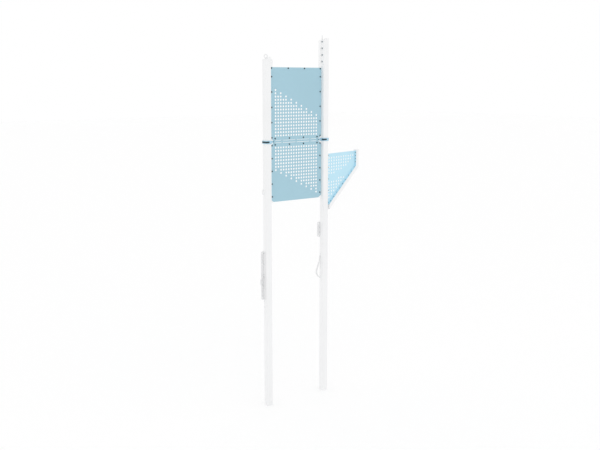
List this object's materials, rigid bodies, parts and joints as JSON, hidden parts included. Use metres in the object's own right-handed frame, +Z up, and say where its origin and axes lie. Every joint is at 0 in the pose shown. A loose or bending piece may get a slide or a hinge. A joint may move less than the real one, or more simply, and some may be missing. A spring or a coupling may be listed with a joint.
{
  "type": "signpost",
  "caption": "Tall sign frame: perforated panels between square posts, clamp collars at the panel joint, a hinged side wing, eyes on the post caps and hand fittings.",
  "frame": {"origin": "on the ground, midway between the two posts, at the middle of the line of ground bolts", "axes": "+X from the left post to the right post, +Y to the back of the sign, +Z up"},
  "size_m": [1.3058, 0.192, 3.543],
  "materials": {
    "post_white": "smooth satin coat",
    "rail_white": "smooth satin coat",
    "sign_blue": "satin coat",
    "strip_blue": "satin coat",
    "band_dark": "matt",
    "wing_blue": "satin coat",
    "wing_white": "smooth satin coat",
    "screw_dark": "dark, slightly dull",
    "fitting_grey": "pale coat",
    "fixing_steel": "plain zinc",
    "grip_grey": "matt sleeve",
    "foot_iron": "machined block"
  },
  "bodies": {
    "frame": {"bow_handle": "fitting_grey", "bow_handle_studs": "fixing_steel", "collar_nuts": "screw_dark", "collar_screws": "screw_dark", "foot_screws": "fixing_steel", "hinge_leaf_screws": "fixing_steel", "left_collar": "strip_blue", "left_collar_band": "band_dark", "left_eye_bolt": "fitting_grey", "left_foot_block": "foot_iron", "left_lower_rail": "rail_white", "left_post": "post_white", "left_post_cap": "post_white", "left_upper_rail": "rail_white", "link_bracket": "fitting_grey", "link_bracket_screws": "fixing_steel", "long_bracket": "fitting_grey", "long_bracket_screws": "fixing_steel", "loop_handle": "fitting_grey", "loop_handle_grip": "grip_grey", "loop_handle_screw": "fixing_steel", "lower_hinge_leaf": "fitting_grey", "lower_hinge_pin": "fixing_steel", "lower_panel": "sign_blue", "lower_panel_screws": "screw_dark", "mid_strip": "strip_blue", "panel_nuts": "screw_dark", "post_plugs": "fixing_steel", "rail_bolts": "screw_dark", "rail_screws": "screw_dark", "right_collar": "strip_blue", "right_collar_band": "band_dark", "right_eye_bolt": "fitting_grey", "right_foot_block": "foot_iron", "right_lower_rail": "rail_white", "right_post": "post_white", "right_post_cap": "post_white", "right_upper_rail": "rail_white", "top_strip": "strip_blue", "upper_hinge_leaf": "fitting_grey", "upper_hinge_pin": "fixing_steel", "upper_panel": "sign_blue", "upper_panel_screws": "screw_dark", "wire_loop": "fitting_grey"},
    "wing": {"lower_hinge_knuckle": "wing_white", "wing_brace": "wing_white", "wing_brace_plug": "wing_white", "wing_lip_screws": "screw_dark", "wing_panel": "wing_blue", "wing_stile": "wing_white", "wing_stile_screws": "screw_dark", "wing_upright": "wing_white", "wing_upright_cap": "wing_white"}
  },
  "joints": [
    {"name": "wing_swing", "type": "hinge", "parent": "frame", "child": "wing", "pos_m": [0.382, 0, 2.13], "axis": [0, 0, 1], "range_deg": [-74, 44]}
  ]
}
